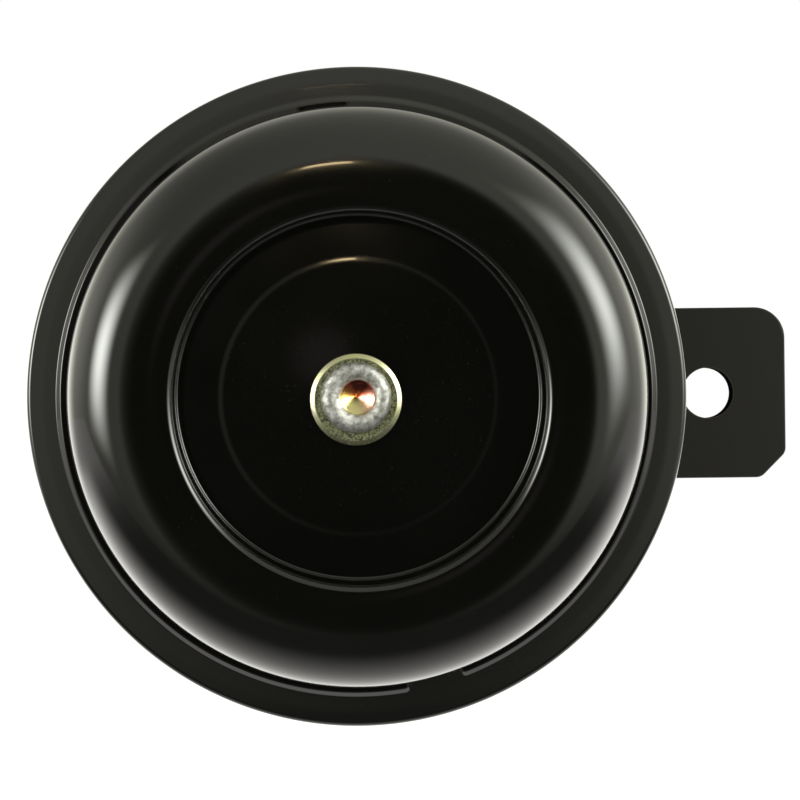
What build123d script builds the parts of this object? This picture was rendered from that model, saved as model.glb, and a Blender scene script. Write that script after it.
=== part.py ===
from build123d import *
import os
from math import cos, radians, sin, tan

# Disc type electric horn, seen from its tone disc, on a flat strap bracket.
# Sizes are in millimetres. Heights run along the horn's own axis, towards the listener,
# and start at the front face of the rim. Radii are from the same axis.
# World: +X along the strap away from the horn, +Z up, -Y towards the listener. The origin is
# the middle of the strap's bolt hole, on the strap's rear face.

# Armature, its stack on the diaphragm and its staked head
shank_radius = 3.6
shank_clearance = 0.1
washer_radius = 7.05
washer_thickness = 1.5
washer_bevel = 0.5
washer_play = 0.5
washer_rest_gap = 0.08
head_radius = 5.42
head_height = 1.35
head_crest_radius = 4.05
head_bore_radius = 2.68
head_lip_drop = 0.75
head_bore_depth = 0.5
drill_point_angle = 118.0
collar_radius = 8.0
backing_radius = 9.0
backing_thickness = 1.0
armature_radius = 7.6
armature_flange_width = 4.4
armature_flange_thickness = 1.5
armature_gap = 1.1

# Pole core with its stud
core_radius = 8.0
core_base_width = 4.0
core_base_thickness = 2.0
core_below_shoulder = 2.6
stud_radius = 3.95
stud_clearance = 0.15
stud_chamfer = 0.8
stud_end_past_nut = 2.6

# Coil and the yoke plate that holds it down
bobbin_clearance = 0.2
bobbin_wall = 1.0
winding_depth = 9.0
bobbin_lip = 1.3
bobbin_side_gap = 1.5
yoke_seat_width = 6.5
yoke_thickness = 1.5
yoke_air_gap = 1.0
yoke_rivet_count = 3
yoke_rivet_angle = 90.0
rivet_radius = 1.2
rivet_clearance = 0.05
rivet_head_radius = 2.2
rivet_head_height = 0.9
lead_window_radius = 2.2
lead_window_angle = 125.0

# Housing, one deep drawn cup in two steps
housing_thickness = 1.2
shoulder_depth = 8.4
housing_depth = 24.8
flange_width = 9.0
edge_bend = 2.0
cup_bend = 3.0
vent_radius = 1.2
vent_angle = 315.0
vent_from_yoke = 5.5

# Rim, where the diaphragm sheet is folded over the housing's flange
fold_radius = 0.9
hem_width = 4.2
diaphragm_thickness = 0.5
gasket_thickness = 0.5
gasket_setback = 0.6
fold_clearance = 0.2

# Raised middle of the diaphragm, with one notch in its edge
rim_flat_width = 4.5
step_run = 0.9
step_height = 0.9
step_foot_radius = 0.6
step_crest_radius = 0.9
notch_middle_angle = 285.0
notch_half_width = 3.8
notch_flank_slope = 0.4
notch_depth = 2.3
notch_lead_out = 0.9

# Tone disc, one pressing
tone_thickness = 1.0
tone_side_gap = 2.2
tone_edge_gap = 6.6
edge_turn = 70.0
edge_turn_radius = 10.0
slope_radius = 21.0
slope_turn = 16.9
brow_radius = 1.15
dish_wall_angle = 88.0
dish_foot_radius = 0.5
plateau_height = 7.0
plateau_radius = 20.6
plateau_edge_width = 1.1
plateau_edge_drop = 0.08
plateau_edge_softening = 3.0

# Strap bracket and the parts that clamp it
strap_thickness = 3.5
strap_width = 29.4
strap_hole_from_rim = 8.0
strap_hole_radius = 4.35
strap_end_from_hole = 13.4
strap_corner_radius = 5.3
strap_corner_chamfer = 4.3
strap_corner_softening = 2.0
strap_edge_radius = 0.3
plain_washer_radius = 8.0
plain_washer_thickness = 1.6
spring_washer_width = 2.25
spring_washer_thickness = 2.0
spring_washer_split = 1.0
spring_washer_slant = 25.0
nut_across_flats = 13.0
nut_thickness = 6.5
nut_corner_chamfer_angle = 30.0
nut_face_share = 0.97
nut_clearance = 0.05

# Contact breaker, on the shoulder at the horn's left
breaker_root_length = 5.6
breaker_rivet_spread = 4.0
breaker_wall_gap = 0.4
bush_wall = 0.6
bush_clearance = 0.05
base_insulator_thickness = 2.6
blade_thickness = 0.3
spacer_insulator_thickness = 1.4
arm_thickness = 0.8
top_insulator_thickness = 0.6
blade_half_width = 4.5
blade_tip_margin = 0.2
arm_half_width = 3.5
arm_tip_margin = 0.9
contact_from_flange = 9.0
contact_radius = 1.6
pusher_inset = 1.7
pusher_radius = 1.2
pusher_dome_radius = 3.0
pusher_gap = 0.1
tail_length = 3.4
tail_width = 4.0

# Adjusting screw
screw_radius = 2.0
screw_clearance = 0.05
screw_length = 12.6
screw_slot_width = 0.8
screw_slot_depth = 1.2
screw_hole_in_blade = 2.8
clinch_nut_radius = 3.0
clinch_nut_height = 1.8
clinch_nut_gap = 1.0
clinch_nut_root_gap = 0.5
lock_nut_across_flats = 7.0
lock_nut_thickness = 3.2

# Terminals, on the shoulder at the horn's lowest side
terminal_yoke_gap = 1.0
terminal_spacing = 13.0
block_width = 12.0
block_thickness = 4.0
block_corner_radius = 2.0
block_rib_thickness = 1.4
block_rib_height = 5.0
boss_radius = 2.8
boss_clearance = 0.1
spade_width = 6.3
spade_thickness = 0.8
spade_length = 9.5
spade_tip_bevel = 1.2
spade_hole_radius = 0.85
spade_hole_from_tip = 4.0
spade_bend_radius = 1.2
terminal_rivet_radius = 1.5
terminal_rivet_head_radius = 2.6
terminal_rivet_head_height = 1.0
inner_insulator_width = 9.0
inner_insulator_thickness = 0.8
lug_thickness = 0.5
lug_width = 5.4
lug_reach = 2.5
lug_margin = 0.4

# Leads, and how far from the pieces they end on each of them turns
lead_radius = 0.4
lead_bend_share = 0.45
lead_inset = 0.6
lead_end_past_rivet = 1.0
start_lead_fall = 4.0
start_lead_run = 10.0
end_lead_reach = 6.8
end_lead_rise = 9.2
end_lead_run = 17.8
end_lead_peak = 11.2
contact_lead_reach = 2.3
contact_lead_drop = 8.2
contact_lead_run = 8.8
contact_lead_fall = 8.0
contact_lead_sag = 2.5
contact_lead_bow = 8.0

# Radii from the axis outwards: coil, cup, yoke, breaker and terminals, wall, rim
bobbin_bore = core_radius + bobbin_clearance
bobbin_tube = bobbin_bore + bobbin_wall
winding_radius = bobbin_tube + winding_depth
bobbin_flange_radius = winding_radius + bobbin_lip
lead_window_circle = winding_radius - lead_window_radius
cup_radius = bobbin_flange_radius + bobbin_side_gap
yoke_radius = cup_radius + yoke_seat_width
yoke_rivet_circle = yoke_radius - rivet_head_radius
vent_circle = yoke_radius + vent_from_yoke
terminal_circle = yoke_radius + terminal_yoke_gap + inner_insulator_width / 2
screw_circle = yoke_radius + clinch_nut_gap + clinch_nut_radius
breaker_root_radius = screw_circle + clinch_nut_radius + clinch_nut_root_gap
breaker_rivet_circle = breaker_root_radius + breaker_root_length / 2
breaker_outer_radius = breaker_root_radius + breaker_root_length
breaker_half_width = breaker_rivet_spread + rivet_head_radius
wall_radius = breaker_outer_radius + breaker_wall_gap + edge_bend
gasket_inner_radius = wall_radius + edge_bend + gasket_setback
rim_radius = wall_radius + flange_width
flange_radius_in_fold = rim_radius - fold_radius - fold_clearance
step_radius = rim_radius - rim_flat_width
notch_floor_radius = step_radius - notch_depth
tone_edge_radius = step_radius - step_run - tone_side_gap
crest_radius = tone_edge_radius - edge_turn_radius * sin(radians(edge_turn))
strap_hole_from_axis = rim_radius + strap_hole_from_rim

# Radii of the armature and of what it works
armature_flange_radius = armature_radius + armature_flange_width
yoke_bore_radius = armature_radius + yoke_air_gap
pusher_circle = armature_flange_radius - pusher_inset
blade_tip_radius = pusher_circle - pusher_radius - blade_tip_margin
contact_circle = armature_flange_radius + contact_from_flange
arm_tip_radius = contact_circle - contact_radius - arm_tip_margin

# Lengths along the terminals: each lug reaches past its rivet's head, the block past the lugs
lug_start = terminal_spacing / 2 - lug_width / 2
lug_end = terminal_spacing / 2 + terminal_rivet_head_radius + lug_reach
block_length = 2 * (lug_end + lug_margin)

# Heights along the horn's axis
raised_front = step_height
raised_back = step_height - diaphragm_thickness
rim_back = -diaphragm_thickness
flange_front = rim_back - gasket_thickness
flange_back = flange_front - housing_thickness
hem_back = flange_back - diaphragm_thickness
shoulder_front = -shoulder_depth
shoulder_back = shoulder_front - housing_thickness
cup_back = -housing_depth
cup_front = cup_back + housing_thickness
strap_back = cup_back - strap_thickness
tone_edge_height = raised_front + tone_edge_gap
edge_turn_height = tone_edge_height - edge_turn_radius * cos(radians(edge_turn))
crest_height = edge_turn_height + edge_turn_radius
washer_front = plateau_height + washer_thickness
backing_back = raised_back - backing_thickness
armature_flange_back = backing_back - armature_flange_thickness
core_face = shoulder_front - core_below_shoulder
armature_end = core_face + armature_gap
core_base_front = cup_front + core_base_thickness
yoke_front = shoulder_front + yoke_thickness
strap_stack_back = strap_back - plain_washer_thickness - spring_washer_thickness
nut_back = strap_stack_back - nut_thickness
stud_end = nut_back - stud_end_past_nut

# The horn's own plane, the half section through its axis, and that axis
horn = Plane(origin=(-strap_hole_from_axis, strap_back, 0), x_dir=(1, 0, 0), z_dir=(0, -1, 0))
section = Plane(origin=horn.origin, x_dir=horn.x_dir, z_dir=-horn.y_dir)
horn_axis = Axis(horn.origin, horn.z_dir)


def half_section(*corners):
    """Closed half outline of a turned piece, from (radius, height) corners."""
    with BuildSketch(section) as outline:
        with BuildLine():
            Polyline(*corners, close=True)
        make_face()
    return outline.sketch


def ring_section(inner, outer, low, high):
    """Half outline of a plain ring."""
    return half_section((inner, low), (outer, low), (outer, high), (inner, high))


def polar(radius, angle):
    """Point on the horn's plane."""
    return (radius * cos(radians(angle)), radius * sin(radians(angle)))


def shifted(piece, place):
    """A piece made on the horn's axis, moved across to a place on its plane."""
    return piece.moved(Location(horn.x_dir * place[0] + horn.y_dir * place[1]))


def notch_outline(margin, outer):
    """Notch in the diaphragm's step, grown by a margin inwards and sideways."""
    inner = notch_floor_radius - margin
    inner_half = notch_half_width + margin
    outer_half = inner_half + (outer - inner) * notch_flank_slope
    with BuildSketch() as outline:
        with BuildLine():
            Polyline(
                (inner, inner_half),
                (outer, outer_half),
                (outer, -outer_half),
                (inner, -inner_half),
                close=True,
            )
        make_face()
    return outline.sketch


def left_plate(inner, outer, half_width):
    """Flat rectangle on the horn's left, from an inner to an outer radius."""
    with BuildSketch() as plate:
        with Locations((-(inner + outer) / 2, 0)):
            Rectangle(outer - inner, 2 * half_width)
    return plate.sketch


def rivet(shank, head, head_height, low, high):
    """Solid rivet on the horn's axis, domed at both ends, that clamps from low to high."""
    with BuildPart() as solid:
        with BuildSketch(horn.offset(low)):
            Circle(shank)
        extrude(amount=high - low)
        with BuildSketch(horn.offset(low - head_height), horn.offset(high)):
            Circle(head)
        extrude(amount=head_height)
        fillet(solid.faces().sort_by(horn_axis)[-1].edges(), head_height / 2)
        fillet(solid.faces().sort_by(horn_axis)[0].edges(), head_height / 2)
    return solid.part


def hexagon_nut(across_flats, bore, low, high):
    """Hexagon nut on the horn's axis, with its corners chamfered at both ends."""
    corner = across_flats / 2 / cos(radians(30))
    face = across_flats / 2 * nut_face_share
    drop = (corner - face) * tan(radians(nut_corner_chamfer_angle))
    with BuildPart() as nut:
        with BuildSketch(horn.offset(low)):
            RegularPolygon(across_flats / 2, 6, major_radius=False)
            Circle(bore, mode=Mode.SUBTRACT)
        extrude(amount=high - low)
        revolve(
            half_section(
                (0, low), (face, low), (corner, low + drop), (corner, high - drop), (face, high), (0, high)
            ),
            axis=horn_axis,
            mode=Mode.INTERSECT,
        )
    return nut.part


def lead(*route):
    """Round wire along straight runs joined by arcs as large as the runs allow."""
    points = [horn.from_local_coords(Vector(*point)) for point in route]
    runs = [b - a for a, b in zip(points, points[1:])]
    radii = []
    for before, after in zip(runs, runs[1:]):
        half_turn = radians(before.get_angle(after)) / 2
        radii.append(lead_bend_share * min(before.length, after.length) / tan(half_turn))
    with BuildPart() as wire:
        with BuildLine() as path:
            FilletPolyline(*points, radius=radii)
        with BuildSketch(Plane(origin=points[0], z_dir=runs[0])):
            Circle(lead_radius)
        sweep()
    return wire.part


# Places on the horn's plane
notch_foot = horn.from_local_coords(Vector(*polar(step_radius, notch_middle_angle)))
notch_plane = Plane(origin=horn.origin, x_dir=notch_foot - horn.origin, z_dir=horn.z_dir)
yoke_rivet_places = [
    polar(yoke_rivet_circle, yoke_rivet_angle + 360 * n / yoke_rivet_count) for n in range(yoke_rivet_count)
]
breaker_rivet_places = [(-breaker_rivet_circle, side * breaker_rivet_spread) for side in (-1, 1)]
terminal_places = [(side * terminal_spacing / 2, -terminal_circle) for side in (-1, 1)]
window_places = [polar(lead_window_circle, lead_window_angle + turn) for turn in (0, 180)]

os.makedirs("parts", exist_ok=True)

# Tone disc: one pressing, a dome round a flat dish whose middle stands slightly raised
with BuildPart() as tone_disc:
    slope_center_height = crest_height - slope_radius
    slope_end = 90 + slope_turn
    wall_start = 90 + dish_wall_angle
    dish_floor = plateau_height - plateau_edge_drop
    brow_center = (
        crest_radius + (slope_radius - brow_radius) * cos(radians(slope_end)),
        slope_center_height + (slope_radius - brow_radius) * sin(radians(slope_end)),
    )
    brow_end = (
        brow_center[0] + brow_radius * cos(radians(wall_start)),
        brow_center[1] + brow_radius * sin(radians(wall_start)),
    )
    dish_foot = brow_end[0] - (brow_end[1] - dish_floor) / tan(radians(dish_wall_angle))
    with BuildSketch(section):
        with BuildLine():
            CenterArc((crest_radius, edge_turn_height), edge_turn_radius, 90 - edge_turn, edge_turn)
            CenterArc((crest_radius, slope_center_height), slope_radius, 90, slope_turn)
            CenterArc(brow_center, brow_radius, slope_end, dish_wall_angle - slope_turn)
            FilletPolyline(
                brow_end,
                (dish_foot, dish_floor),
                (plateau_radius + plateau_edge_width, dish_floor),
                (plateau_radius, plateau_height),
                (shank_radius + shank_clearance, plateau_height),
                radius=[dish_foot_radius, plateau_edge_softening, plateau_edge_softening],
            )
            offset(amount=tone_thickness, side=Side.LEFT)
        make_face()
    revolve(axis=horn_axis)
tone_disc.part.label = "tone_disc"
export_step(tone_disc.part, "parts/tone_disc.step")

# Front washer: sits low by its play on the shank
with BuildPart() as front_washer:
    with BuildSketch(horn.offset(plateau_height)):
        with Locations((0, washer_rest_gap - washer_play)):
            Circle(washer_radius)
            Circle(shank_radius + washer_play, mode=Mode.SUBTRACT)
    extrude(amount=washer_thickness)
    front_rim = front_washer.edges().filter_by(GeomType.CIRCLE).group_by(SortBy.RADIUS)[-1]
    chamfer(front_rim.sort_by(horn_axis)[-1], washer_bevel)
front_washer.part.label = "front_washer"
export_step(front_washer.part, "parts/front_washer.step")

# Armature: one turned piece, its hollow end staked over the washer
with BuildPart() as armature:
    head_crest = washer_front + head_height
    head_lip = head_crest - head_lip_drop
    bore_floor = head_lip - head_bore_depth
    drill_tip = bore_floor - head_bore_radius / tan(radians(drill_point_angle / 2))
    with BuildSketch(section):
        with BuildLine():
            Polyline(
                (0, drill_tip),
                (head_bore_radius, bore_floor),
                (head_bore_radius, head_lip),
            )
            TangentArc((head_crest_radius, head_crest), (head_bore_radius, head_lip), tangent=(-1, 0))
            TangentArc((head_crest_radius, head_crest), (head_radius, washer_front), tangent=(1, 0))
            Polyline(
                (head_radius, washer_front),
                (shank_radius, washer_front),
                (shank_radius, backing_back),
                (armature_flange_radius, backing_back),
                (armature_flange_radius, armature_flange_back),
                (armature_radius, armature_flange_back),
                (armature_radius, armature_end),
                (0, armature_end),
                (0, drill_tip),
            )
        make_face()
    revolve(axis=horn_axis)
armature.part.label = "armature"
export_step(armature.part, "parts/armature.step")

# Spacer collar: holds the tone disc off the diaphragm
with BuildPart() as spacer_collar:
    revolve(
        ring_section(
            shank_radius + shank_clearance, collar_radius, raised_front, plateau_height - tone_thickness
        ),
        axis=horn_axis,
    )
spacer_collar.part.label = "spacer_collar"
export_step(spacer_collar.part, "parts/spacer_collar.step")

# Backing washer: spreads the armature's pull over the diaphragm
with BuildPart() as backing_washer:
    revolve(
        ring_section(shank_radius + shank_clearance, backing_radius, backing_back, raised_back),
        axis=horn_axis,
    )
backing_washer.part.label = "backing_washer"
export_step(backing_washer.part, "parts/backing_washer.step")

# Diaphragm: thin spring sheet, stepped up in the middle and folded over the flange
with BuildPart() as diaphragm:
    with BuildSketch(section):
        with BuildLine():
            FilletPolyline(
                (rim_radius - hem_width, hem_back),
                (rim_radius, hem_back),
                (rim_radius, 0),
                (step_radius, 0),
                (step_radius - step_run, raised_front),
                (shank_radius + shank_clearance, raised_front),
                radius=[fold_radius, fold_radius, step_foot_radius, step_crest_radius],
            )
            offset(amount=diaphragm_thickness, side=Side.LEFT)
        make_face()
    revolve(axis=horn_axis)
    with BuildSketch(notch_plane.offset(rim_back)):
        add(notch_outline(diaphragm_thickness, step_radius))
    extrude(amount=diaphragm_thickness)
    with BuildSketch(notch_plane):
        add(notch_outline(diaphragm_thickness, step_radius - step_run))
    extrude(amount=raised_front)
    with BuildSketch(notch_plane):
        add(notch_outline(0, step_radius + notch_lead_out))
    extrude(amount=raised_front, mode=Mode.SUBTRACT)
diaphragm.part.label = "diaphragm"
export_step(diaphragm.part, "parts/diaphragm.step")

# Rim gasket: paper ring between the diaphragm and the flange
with BuildPart() as rim_gasket:
    revolve(
        ring_section(gasket_inner_radius, flange_radius_in_fold, flange_front, rim_back),
        axis=horn_axis,
    )
rim_gasket.part.label = "rim_gasket"
export_step(rim_gasket.part, "parts/rim_gasket.step")

# Housing: deep drawn steel cup, its flange held in the diaphragm's fold
with BuildPart() as housing:
    with BuildSketch(section):
        with BuildLine():
            FilletPolyline(
                (stud_radius + stud_clearance, cup_front),
                (cup_radius, cup_front),
                (cup_radius, shoulder_front),
                (wall_radius, shoulder_front),
                (wall_radius, flange_front),
                (flange_radius_in_fold, flange_front),
                radius=[cup_bend, edge_bend, edge_bend, edge_bend],
            )
            offset(amount=housing_thickness, side=Side.RIGHT)
        make_face()
    revolve(axis=horn_axis)
    with BuildSketch(horn.offset(shoulder_front)):
        with Locations(polar(vent_circle, vent_angle)):
            Circle(vent_radius)
        with Locations(*yoke_rivet_places, *breaker_rivet_places):
            Circle(rivet_radius + rivet_clearance)
        with Locations((-screw_circle, 0)):
            Circle(screw_radius + screw_clearance)
        with Locations(*terminal_places):
            Circle(boss_radius + boss_clearance)
    extrude(amount=-housing_thickness, mode=Mode.SUBTRACT)
housing.part.label = "housing"
export_step(housing.part, "parts/housing.step")

# Pole core: turned steel with its mounting stud in one piece
with BuildPart() as pole_core:
    with BuildSketch(section):
        with BuildLine():
            Polyline(
                (0, core_face),
                (core_radius, core_face),
                (core_radius, core_base_front),
                (core_radius + core_base_width, core_base_front),
                (core_radius + core_base_width, cup_front),
                (stud_radius, cup_front),
                (stud_radius, stud_end + stud_chamfer),
                (stud_radius - stud_chamfer, stud_end),
                (0, stud_end),
                close=True,
            )
        make_face()
    revolve(axis=horn_axis)
pole_core.part.label = "pole_core"
export_step(pole_core.part, "parts/pole_core.step")

# Coil bobbin: moulded spool with two windows for the leads in its front flange
with BuildPart() as coil_bobbin:
    with BuildSketch(section):
        with BuildLine():
            Polyline(
                (bobbin_bore, core_base_front),
                (bobbin_flange_radius, core_base_front),
                (bobbin_flange_radius, core_base_front + bobbin_wall),
                (bobbin_tube, core_base_front + bobbin_wall),
                (bobbin_tube, shoulder_front - bobbin_wall),
                (bobbin_flange_radius, shoulder_front - bobbin_wall),
                (bobbin_flange_radius, shoulder_front),
                (bobbin_bore, shoulder_front),
                close=True,
            )
        make_face()
    revolve(axis=horn_axis)
    with BuildSketch(horn.offset(shoulder_front)):
        with Locations(*window_places):
            Circle(lead_window_radius)
    extrude(amount=-bobbin_wall, mode=Mode.SUBTRACT)
coil_bobbin.part.label = "coil_bobbin"
export_step(coil_bobbin.part, "parts/coil_bobbin.step")

# Coil winding: enamelled copper wire, one solid
with BuildPart() as coil_winding:
    revolve(
        ring_section(
            bobbin_tube, winding_radius, core_base_front + bobbin_wall, shoulder_front - bobbin_wall
        ),
        axis=horn_axis,
    )
coil_winding.part.label = "coil_winding"
export_step(coil_winding.part, "parts/coil_winding.step")

# Yoke plate: steel disc on the shoulder, over the coil
with BuildPart() as yoke_plate:
    with BuildSketch(horn.offset(shoulder_front)):
        Circle(yoke_radius)
        Circle(yoke_bore_radius, mode=Mode.SUBTRACT)
        with Locations(*yoke_rivet_places):
            Circle(rivet_radius + rivet_clearance, mode=Mode.SUBTRACT)
        with Locations(*window_places):
            Circle(lead_window_radius, mode=Mode.SUBTRACT)
    extrude(amount=yoke_thickness)
yoke_plate.part.label = "yoke_plate"
export_step(yoke_plate.part, "parts/yoke_plate.step")

# Yoke rivets: three steel rivets through the shoulder
yoke_rivet = rivet(rivet_radius, rivet_head_radius, rivet_head_height, shoulder_back, yoke_front)
with BuildPart() as yoke_rivets:
    add([shifted(yoke_rivet, place) for place in yoke_rivet_places])
yoke_rivets.part.label = "yoke_rivets"
export_step(yoke_rivets.part, "parts/yoke_rivets.step")

# Strap bracket: punched flat steel, clamped under the stud's nut
strap_end = strap_hole_from_axis + strap_end_from_hole
with BuildPart() as strap_bracket:
    with BuildSketch(horn.offset(strap_back)) as strap_outline:
        with BuildLine():
            Polyline(
                (0, strap_width / 2),
                (strap_end, strap_width / 2),
                (strap_end, -strap_width / 2),
                (0, -strap_width / 2),
            )
            CenterArc((0, 0), strap_width / 2, 90, 180)
        make_face()
        fillet(strap_outline.vertices().group_by(Axis.X)[-1].sort_by(Axis.Y)[-1], strap_corner_radius)
        chamfer(strap_outline.vertices().group_by(Axis.X)[-1].sort_by(Axis.Y)[0], strap_corner_chamfer)
        chamfer_ends = strap_outline.vertices().filter_by(lambda corner: corner.Y < 0).sort_by(Axis.X)[-2:]
        fillet(chamfer_ends, strap_corner_softening)
        Circle(stud_radius + stud_clearance, mode=Mode.SUBTRACT)
        with Locations((strap_hole_from_axis, 0)):
            Circle(strap_hole_radius, mode=Mode.SUBTRACT)
    extrude(amount=strap_thickness)
    fillet(strap_bracket.faces().sort_by(horn_axis)[-1].outer_wire().edges(), strap_edge_radius)
    fillet(strap_bracket.faces().sort_by(horn_axis)[0].outer_wire().edges(), strap_edge_radius)
strap_bracket.part.label = "strap_bracket"
export_step(strap_bracket.part, "parts/strap_bracket.step")

# Plain washer under the nut
plain_washer_back = strap_back - plain_washer_thickness
with BuildPart() as plain_washer:
    revolve(
        ring_section(stud_radius + stud_clearance, plain_washer_radius, plain_washer_back, strap_back),
        axis=horn_axis,
    )
plain_washer.part.label = "plain_washer"
export_step(plain_washer.part, "parts/plain_washer.step")

# Spring washer: square wire ring with a slanted split
spring_washer_bore = stud_radius + stud_clearance
spring_washer_radius = spring_washer_bore + spring_washer_width
with BuildPart() as spring_washer:
    revolve(
        ring_section(spring_washer_bore, spring_washer_radius, strap_stack_back, plain_washer_back),
        axis=horn_axis,
    )
    split_height = (strap_stack_back + plain_washer_back) / 2
    slant = radians(spring_washer_slant)
    split_plane = Plane(
        origin=horn.from_local_coords((0, 0, split_height)),
        x_dir=horn.x_dir,
        z_dir=horn.z_dir * cos(slant) + horn.y_dir * sin(slant),
    )
    with BuildSketch(split_plane):
        with Locations((spring_washer_radius, 0)):
            Rectangle(2 * spring_washer_radius, spring_washer_split)
    extrude(amount=spring_washer_thickness, both=True, mode=Mode.SUBTRACT)
spring_washer.part.label = "spring_washer"
export_step(spring_washer.part, "parts/spring_washer.step")

# Bracket nut
with BuildPart() as bracket_nut:
    add(hexagon_nut(nut_across_flats, stud_radius + nut_clearance, nut_back, strap_stack_back))
bracket_nut.part.label = "bracket_nut"
export_step(bracket_nut.part, "parts/bracket_nut.step")

# Breaker heights, from the shoulder up
blade_back = shoulder_front + base_insulator_thickness
blade_front = blade_back + blade_thickness
arm_back = blade_front + spacer_insulator_thickness
arm_front = arm_back + arm_thickness
stack_front = arm_front + top_insulator_thickness
contact_height = spacer_insulator_thickness / 2
bush_radius = rivet_radius + rivet_clearance + bush_wall
tail_middle = (-breaker_rivet_circle, breaker_half_width + tail_length / 2)

# Base insulator: laminate block under the blade
with BuildPart() as base_insulator:
    with BuildSketch(horn.offset(shoulder_front)):
        add(left_plate(breaker_root_radius, breaker_outer_radius, breaker_half_width))
        with Locations(*breaker_rivet_places):
            Circle(rivet_radius + rivet_clearance, mode=Mode.SUBTRACT)
    extrude(amount=base_insulator_thickness)
base_insulator.part.label = "base_insulator"
export_step(base_insulator.part, "parts/base_insulator.step")

# Moving contact blade: spring strip with the coil's tail at its root and a hole for the screw
with BuildPart() as moving_contact_blade:
    with BuildSketch(horn.offset(blade_back)):
        add(left_plate(breaker_root_radius, breaker_outer_radius, breaker_half_width))
        add(left_plate(blade_tip_radius, breaker_root_radius, blade_half_width))
        with Locations(tail_middle):
            Rectangle(tail_width, tail_length)
        with Locations(*breaker_rivet_places):
            Circle(bush_radius + bush_clearance, mode=Mode.SUBTRACT)
        with Locations((-screw_circle, 0)):
            Circle(screw_hole_in_blade, mode=Mode.SUBTRACT)
    extrude(amount=blade_thickness)
moving_contact_blade.part.label = "moving_contact_blade"
export_step(moving_contact_blade.part, "parts/moving_contact_blade.step")

# Moving contact point: tungsten disc on the blade
with BuildPart() as moving_contact_point:
    with BuildSketch(horn.offset(blade_front)):
        with Locations((-contact_circle, 0)):
            Circle(contact_radius)
    extrude(amount=contact_height)
moving_contact_point.part.label = "moving_contact_point"
export_step(moving_contact_point.part, "parts/moving_contact_point.step")

# Pusher: fibre peg on the blade's tip, domed where the armature's flange presses it
with BuildPart() as pusher:
    dome_start = pusher_dome_radius - (pusher_dome_radius**2 - pusher_radius**2) ** 0.5
    pusher_top = armature_flange_back - pusher_gap
    with BuildSketch(section):
        with BuildLine():
            Polyline(
                (-pusher_circle, pusher_top),
                (-pusher_circle, blade_front),
                (pusher_radius - pusher_circle, blade_front),
                (pusher_radius - pusher_circle, pusher_top - dome_start),
            )
            RadiusArc(
                (pusher_radius - pusher_circle, pusher_top - dome_start),
                (-pusher_circle, pusher_top),
                -pusher_dome_radius,
            )
        make_face()
    revolve(axis=Axis(horn.from_local_coords((-pusher_circle, 0, 0)), horn.z_dir))
pusher.part.label = "pusher"
export_step(pusher.part, "parts/pusher.step")

# Spacer insulator: sets the contacts apart from their carriers
with BuildPart() as spacer_insulator:
    with BuildSketch(horn.offset(blade_front)):
        add(left_plate(breaker_root_radius, breaker_outer_radius, breaker_half_width))
        with Locations(*breaker_rivet_places):
            Circle(bush_radius + bush_clearance, mode=Mode.SUBTRACT)
    extrude(amount=spacer_insulator_thickness)
spacer_insulator.part.label = "spacer_insulator"
export_step(spacer_insulator.part, "parts/spacer_insulator.step")

# Fixed contact arm: stiff brass strip over the blade
with BuildPart() as fixed_contact_arm:
    with BuildSketch(horn.offset(arm_back)):
        add(left_plate(breaker_root_radius, breaker_outer_radius, breaker_half_width))
        add(left_plate(arm_tip_radius, breaker_root_radius, arm_half_width))
        with Locations((tail_middle[0], -tail_middle[1])):
            Rectangle(tail_width, tail_length)
        with Locations(*breaker_rivet_places):
            Circle(bush_radius + bush_clearance, mode=Mode.SUBTRACT)
    extrude(amount=arm_thickness)
fixed_contact_arm.part.label = "fixed_contact_arm"
export_step(fixed_contact_arm.part, "parts/fixed_contact_arm.step")

# Fixed contact point: tungsten disc under the arm
with BuildPart() as fixed_contact_point:
    with BuildSketch(horn.offset(arm_back)):
        with Locations((-contact_circle, 0)):
            Circle(contact_radius)
    extrude(amount=-contact_height)
fixed_contact_point.part.label = "fixed_contact_point"
export_step(fixed_contact_point.part, "parts/fixed_contact_point.step")

# Top insulator: laminate plate under the rivets' heads
with BuildPart() as top_insulator:
    with BuildSketch(horn.offset(arm_front)):
        add(left_plate(breaker_root_radius, breaker_outer_radius, breaker_half_width))
        with Locations(*breaker_rivet_places):
            Circle(rivet_radius + rivet_clearance, mode=Mode.SUBTRACT)
    extrude(amount=top_insulator_thickness)
top_insulator.part.label = "top_insulator"
export_step(top_insulator.part, "parts/top_insulator.step")

# Breaker bushes: insulating tubes that keep the rivets off the blade and the arm
with BuildPart() as breaker_bushes:
    with BuildSketch(horn.offset(blade_back)):
        with Locations(*breaker_rivet_places):
            Circle(bush_radius)
            Circle(rivet_radius + rivet_clearance, mode=Mode.SUBTRACT)
    extrude(amount=arm_front - blade_back)
breaker_bushes.part.label = "breaker_bushes"
export_step(breaker_bushes.part, "parts/breaker_bushes.step")

# Breaker rivets
breaker_rivet = rivet(rivet_radius, rivet_head_radius, rivet_head_height, shoulder_back, stack_front)
with BuildPart() as breaker_rivets:
    add([shifted(breaker_rivet, place) for place in breaker_rivet_places])
breaker_rivets.part.label = "breaker_rivets"
export_step(breaker_rivets.part, "parts/breaker_rivets.step")

# Adjusting screw: bears on the arm's underside, slotted at the rear
with BuildPart() as adjusting_screw:
    with BuildSketch(horn.offset(arm_back)):
        with Locations((-screw_circle, 0)):
            Circle(screw_radius)
    extrude(amount=-screw_length)
    with BuildSketch(horn.offset(arm_back - screw_length)):
        with Locations((-screw_circle, 0)):
            Rectangle(screw_slot_width, 2 * screw_radius)
    extrude(amount=screw_slot_depth, mode=Mode.SUBTRACT)
adjusting_screw.part.label = "adjusting_screw"
export_step(adjusting_screw.part, "parts/adjusting_screw.step")

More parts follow.
